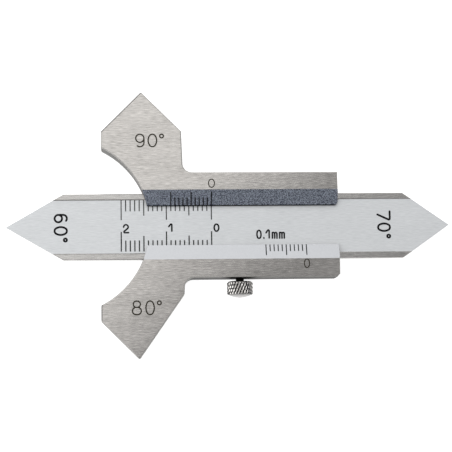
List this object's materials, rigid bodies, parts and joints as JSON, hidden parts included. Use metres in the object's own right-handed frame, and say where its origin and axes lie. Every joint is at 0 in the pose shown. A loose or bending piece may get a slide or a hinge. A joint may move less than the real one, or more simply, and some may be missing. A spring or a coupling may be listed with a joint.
{
  "type": "weld gauge",
  "caption": "Flat vernier weld gauge: a pointed, graduated beam slides in a slider with angled jaws and bevelled verniers, and a knurled screw clamps it.",
  "frame": {"origin": "on the slider's flat back face, on the beam's centre line, below the slider's zero mark", "axes": "+X along the beam towards its 70 degree point, +Y towards the 90 degree jaw, +Z out of the back face towards the engraved front"},
  "size_m": [0.0987, 0.0589, 0.006],
  "materials": {
    "slider_steel": "ground stainless steel, brushed along the beam, with satin bevels",
    "beam_steel": "satin-chromed scale face between finely ground lands",
    "screw_steel": "bright turned stainless steel with a diamond knurl",
    "spring_bronze": "rolled phosphor bronze strip"
  },
  "bodies": {
    "slider": {"slider_body": "slider_steel"},
    "beam": {"beam": "beam_steel"},
    "spring": {"leaf_spring": "spring_bronze"},
    "screw": {"clamp_screw": "screw_steel"}
  },
  "joints": [
    {"name": "beam_slide", "type": "slide", "parent": "slider", "child": "beam", "axis": [1, 0, 0], "range_m": [0, 0.041]},
    {"name": "spring_relax", "type": "slide", "parent": "slider", "child": "spring", "axis": [0, -1, 0], "range_m": [0, 0.0002]},
    {"name": "screw_turn", "type": "hinge", "parent": "spring", "child": "screw", "pos_m": [0.0062, -0.0142, 0.003], "axis": [0, -1, 0], "range_deg": [0, 180]}
  ],
  "couplings": [
    {"joint": "screw_turn", "follows": "spring_relax", "rad_per_m": 15700}
  ]
}
